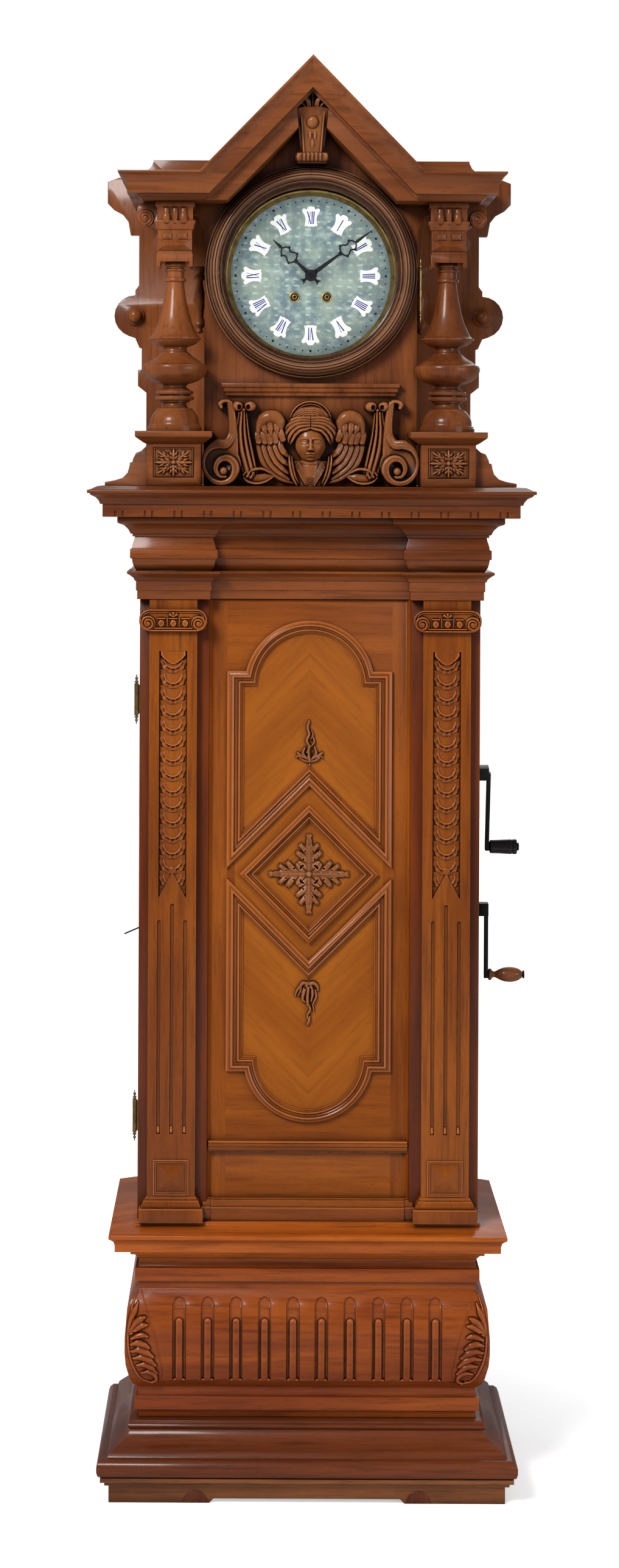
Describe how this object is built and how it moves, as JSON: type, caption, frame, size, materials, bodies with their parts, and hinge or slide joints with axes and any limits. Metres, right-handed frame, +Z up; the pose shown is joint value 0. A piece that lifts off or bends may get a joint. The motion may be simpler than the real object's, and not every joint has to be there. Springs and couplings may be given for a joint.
{
  "type": "tall case clock",
  "caption": "Tall floor-standing clock case with a moulded plinth, a full-width trunk door, a columned hood under a gable, a round glazed dial door and side winding cranks.",
  "frame": {"origin": "on the floor, in the middle of the bounding box", "axes": "+X to the clock's left hand as it faces the room (the viewer's right), +Y towards the wall, +Z up"},
  "size_m": [0.76, 0.422, 2.4697],
  "materials": {
    "walnut": "polished, worn at the edges",
    "dark_walnut": "dark polish",
    "red_walnut": "reddish polish",
    "carved_walnut": "carved, waxed",
    "pine": "raw, aged",
    "brass": "satin, aged",
    "iron": "blackened",
    "dial_tin": "mottled, pearly",
    "glass": "clear",
    "black_grip": "ebonised",
    "walnut_grip": "turned, waxed"
  },
  "bodies": {
    "case": {"foot_rail": "walnut", "plinth_moulding": "walnut", "base_body": "walnut", "base_ledge": "walnut", "trunk_back": "pine", "trunk_left_side": "red_walnut", "trunk_right_side": "red_walnut", "entablature": "walnut", "cornice_shelf": "walnut", "upper_door_hinge": "brass", "lower_door_hinge": "brass", "left_pedestal": "dark_walnut", "left_column": "dark_walnut", "left_impost": "dark_walnut", "right_pedestal": "dark_walnut", "right_column": "dark_walnut", "right_impost": "dark_walnut", "gable_moulding": "dark_walnut", "keystone": "carved_walnut", "hood_front_board": "dark_walnut", "hood_roof": "dark_walnut", "hood_left_side": "dark_walnut", "hood_right_side": "dark_walnut", "hood_backboard": "red_walnut", "winged_head": "carved_walnut", "left_scroll_bracket": "carved_walnut", "right_scroll_bracket": "carved_walnut", "bezel_hinge": "brass", "dial_plate": "dial_tin", "seatboard": "pine", "movement_front_plate": "brass", "movement_back_plate": "brass", "bell": "brass", "crank_bearer": "pine"},
    "trunk_door": {"door_board": "walnut", "left_pilaster": "walnut", "right_pilaster": "walnut", "upper_panel_frame": "walnut", "lower_panel_frame": "walnut", "diamond_frame": "walnut", "rosette": "carved_walnut", "flame_finial": "carved_walnut", "drop_ornament": "carved_walnut"},
    "bezel_door": {"bezel_ring": "dark_walnut", "bezel_glass": "glass"},
    "minute_hand": {"minute_hand": "iron"},
    "hour_hand": {"hour_hand": "iron"},
    "going_barrel": {"going_barrel": "brass"},
    "strike_barrel": {"strike_barrel": "brass"},
    "escape_wheel": {"escape_wheel": "brass"},
    "anchor": {"anchor": "iron"},
    "pendulum": {"pendulum": "brass"},
    "hammer": {"hammer": "iron"},
    "upper_crank": {"upper_crank_arm": "iron", "upper_line_drum": "pine"},
    "upper_grip": {"upper_crank_grip": "black_grip"},
    "lower_crank": {"lower_crank_arm": "iron", "lower_line_drum": "pine"},
    "lower_grip": {"lower_crank_grip": "walnut_grip"},
    "start_lever": {"start_lever": "iron"}
  },
  "joints": [
    {"name": "trunk_door_hinge", "type": "hinge", "parent": "case", "child": "trunk_door", "pos_m": [-0.299, -0.11, 1], "axis": [0, 0, 1], "range_deg": [-110, 0]},
    {"name": "bezel_door_hinge", "type": "hinge", "parent": "case", "child": "bezel_door", "pos_m": [0.1906, -0.062, 2.073], "axis": [0, 0, 1], "range_deg": [0, 26]},
    {"name": "minute_hand_turn", "type": "hinge", "parent": "case", "child": "minute_hand", "pos_m": [0, -0.02, 2.1026], "axis": [0, 1, 0], "continuous": true},
    {"name": "hour_hand_turn", "type": "hinge", "parent": "case", "child": "hour_hand", "pos_m": [0, -0.015, 2.1026], "axis": [0, 1, 0], "continuous": true},
    {"name": "going_barrel_turn", "type": "hinge", "parent": "case", "child": "going_barrel", "pos_m": [0.0285, 0.04, 2.0652], "axis": [0, 1, 0], "continuous": true},
    {"name": "strike_barrel_turn", "type": "hinge", "parent": "case", "child": "strike_barrel", "pos_m": [-0.0285, 0.04, 2.0652], "axis": [0, 1, 0], "continuous": true},
    {"name": "escape_wheel_turn", "type": "hinge", "parent": "case", "child": "escape_wheel", "pos_m": [0, 0.071, 2.14], "axis": [0, 1, 0], "continuous": true},
    {"name": "pendulum_swing", "type": "hinge", "parent": "case", "child": "pendulum", "pos_m": [0, 0.1217, 2.187], "axis": [0, 1, 0], "range_deg": [-3, 3]},
    {"name": "anchor_rock", "type": "hinge", "parent": "case", "child": "anchor", "pos_m": [0, 0.071, 2.17], "axis": [0, 1, 0], "range_deg": [-3, 3]},
    {"name": "hammer_swing", "type": "hinge", "parent": "case", "child": "hammer", "pos_m": [0.052, 0.06, 2.15], "axis": [0, 1, 0], "range_deg": [0, 15]},
    {"name": "upper_crank_turn", "type": "hinge", "parent": "case", "child": "upper_crank", "pos_m": [0.294, 0.05, 1.222], "axis": [1, 0, 0], "continuous": true},
    {"name": "upper_grip_spin", "type": "hinge", "parent": "upper_crank", "child": "upper_grip", "pos_m": [0.351, 0.08497, 1.08582], "axis": [1, 0, 0], "continuous": true},
    {"name": "lower_crank_turn", "type": "hinge", "parent": "case", "child": "lower_crank", "pos_m": [0.294, -0.03, 0.992], "axis": [1, 0, 0], "continuous": true},
    {"name": "lower_grip_spin", "type": "hinge", "parent": "lower_crank", "child": "lower_grip", "pos_m": [0.346, -0.03, 0.8776], "axis": [1, 0, 0], "continuous": true},
    {"name": "start_lever_tilt", "type": "hinge", "parent": "case", "child": "start_lever", "pos_m": [-0.284, 0.04, 0.9518], "axis": [0, 1, 0], "range_deg": [-6, 6]}
  ],
  "couplings": [
    {"joint": "hour_hand_turn", "follows": "minute_hand_turn", "ratio": 0.083333},
    {"joint": "anchor_rock", "follows": "pendulum_swing", "ratio": 1}
  ]
}
